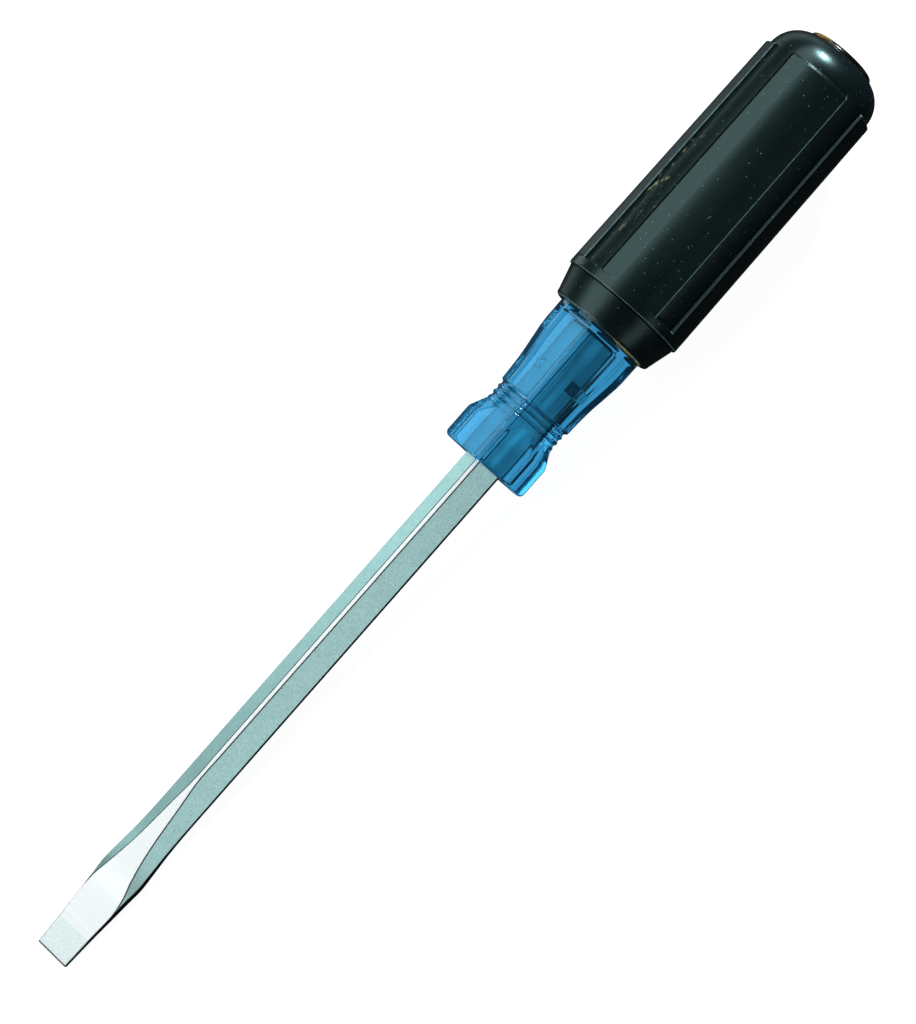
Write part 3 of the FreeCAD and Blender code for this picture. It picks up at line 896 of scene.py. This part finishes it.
# The tool rests on its shank, behind the tip, and on the front of the sleeve's gripping length. So
# the floor slopes a little against the tool's axis.
REST_FRONT = Vector((GRIND_END, 0, -CORNER_REACH - 0.25)) * MM
REST_BACK = Vector((RING_AT, 0, -LAND_RADIUS - 0.05)) * MM
FLOOR_REACH = 6.0            # metres each way
VIEW_TILT = 17.9             # the camera leans this far from +Z towards -Y
VIEW_DISTANCE = 0.775        # metres
VIEW_CENTRE = 140.45         # along the tool
VIEW_OFFSET = 2.9            # across the tool, towards the lower side of the picture
AXIS_IN_PICTURE = 48.64      # the tool rises this steeply to the right, degrees
LENS = 116.4
SENSOR_WIDTH = 36

# What reflections see of the studio: a direction along one axis, from -1 to 1, and its brightness.
ROOM_HEIGHTS = ((-1.0, 0.015), (-0.1, 0.03), (0.0, 0.07), (1.0, 0.05))
CARD_HEIGHTS = ((-0.55, 0.0), (-0.45, 1.0), (-0.12, 1.0), (-0.02, 0.0))
CARD_SIDE = ((0.2, 0.0), (0.4, 1.0))
CARD_ALONG = ((-0.14, 0.5), (-0.06, 1.3), (0.0, 2.3), (0.08, 1.7), (0.16, 0.7))


def make_floor():
    """One large pale face under the tool. Mirror rays pass it and see the studio instead."""
    along = (REST_BACK - REST_FRONT).normalized() * FLOOR_REACH
    across = Vector((0, FLOOR_REACH, 0))
    middle = (REST_FRONT + REST_BACK) / 2
    corners = [middle + along * a + across * b for a, b in ((-1, -1), (1, -1), (1, 1), (-1, 1))]
    mesh = bpy.data.meshes.new("floor")
    mesh.from_pydata(corners, [], [(0, 1, 2, 3)])
    mesh.materials.append(pale_floor())
    floor = bpy.data.objects.new("floor", mesh)
    bpy.context.scene.collection.objects.link(floor)
    floor.visible_glossy = False


def soft_light(name, direction, distance, length, width, brightness, colour=(1, 1, 1)):
    """A soft box aimed at the middle of the tool, in metres. Its brightness is what a mirror shows."""
    middle = Vector((VIEW_CENTRE, 0, 0)) * MM
    data = bpy.data.lights.new(name, "AREA")
    data.shape = "RECTANGLE"
    data.size = length
    data.size_y = width
    data.energy = brightness * math.pi * length * width
    data.color = colour
    light = bpy.data.objects.new(name, data)
    towards = Vector(direction).normalized()
    light.location = middle + towards * distance
    light.rotation_euler = towards.to_track_quat("Z", "Y").to_euler()
    bpy.context.scene.collection.objects.link(light)


def make_lights():
    soft_light("overhead", (0, 0.545, 0.839), distance=1.0, length=2.6, width=0.76, brightness=3.5)
    soft_light("near_side", (-0.28, -0.913, 0.297), distance=1.2, length=1.15, width=0.4, brightness=1.6)
    soft_light("butt_side", (0.88, 0.17, 0.44), distance=0.9, length=0.16, width=0.16, brightness=240.0,
               colour=(0.85, 0.97, 1.0))
    soft_light("tip_side", (-0.88, 0.40, 0.26), distance=0.9, length=0.3, width=0.3, brightness=15.0)


def make_studio():
    """A dim studio. Reflections see it below the horizon too, with a pale card low on the +Y side."""
    world = bpy.data.worlds.new("studio")
    bpy.context.scene.world = world
    world.use_nodes = True
    nodes, links = world.node_tree.nodes, world.node_tree.links
    split = nodes.new("ShaderNodeSeparateXYZ")
    links.new(nodes.new("ShaderNodeTexCoord").outputs["Generated"], split.inputs[0])

    def ramp(axis, stops):
        """Brightness along one axis of the direction looked in."""
        spread_out = nodes.new("ShaderNodeMapRange")
        spread_out.inputs["From Min"].default_value = -1.0
        links.new(split.outputs[axis], spread_out.inputs["Value"])
        node = nodes.new("ShaderNodeValToRGB")
        links.new(spread_out.outputs["Result"], node.inputs["Fac"])
        for index, (place, brightness) in enumerate(stops):
            elements = node.color_ramp.elements
            stop = elements[index] if index < 2 else elements.new(1.0)
            stop.position = place / 2 + 0.5
            stop.color = (brightness * 0.95, brightness, brightness, 1)
        return node.outputs["Color"]

    def blend(kind, first, second):
        node = nodes.new("ShaderNodeMix")
        node.data_type = "RGBA"
        node.blend_type = kind
        node.inputs["Factor"].default_value = 1.0
        links.new(first, node.inputs["A"])
        links.new(second, node.inputs["B"])
        return node.outputs["Result"]

    card = blend("MULTIPLY", ramp("Z", CARD_HEIGHTS), ramp("Y", CARD_SIDE))
    card = blend("MULTIPLY", card, ramp("X", CARD_ALONG))
    background = nodes["Background"]
    links.new(blend("ADD", ramp("Z", ROOM_HEIGHTS), card), background.inputs["Color"])
    background.inputs["Strength"].default_value = 1.0


def make_camera():
    """The picture's view: along the diagonal, a little off the flats' normal."""
    tilt = math.radians(VIEW_TILT)
    back = Vector((0, -math.sin(tilt), math.cos(tilt)))
    tool = Vector((1, 0, 0))
    lower = Vector((0, -math.cos(tilt), -math.sin(tilt)))
    rise = math.radians(AXIS_IN_PICTURE)
    right = tool * math.cos(rise) + lower * math.sin(rise)
    up = tool * math.sin(rise) - lower * math.cos(rise)
    data = bpy.data.cameras.new("camera")
    data.lens = LENS
    data.sensor_width = SENSOR_WIDTH
    camera = bpy.data.objects.new("camera", data)
    aim = (tool * VIEW_CENTRE + lower * VIEW_OFFSET) * MM
    turn = Matrix((right, up, back)).transposed()
    camera.matrix_world = Matrix.Translation(aim + back * VIEW_DISTANCE) @ turn.to_4x4()
    bpy.context.scene.collection.objects.link(camera)
    bpy.context.scene.camera = camera


def main():
    metal = steel()
    stands_for(make_blade(), "blade", metal)
    stands_for(make_wings(), "blade", metal)
    stands_for(make_core(), "handle_core", blue_plastic())
    stands_for(make_sleeve(), "cushion_grip", rubber())
    stands_for(make_insert(), "butt_insert", amber_plastic())
    stands_for(make_bead(), "grip_adhesive", adhesive())
    make_floor()
    make_lights()
    make_studio()
    make_camera()
    bpy.context.scene.view_settings.view_transform = "Standard"


main()
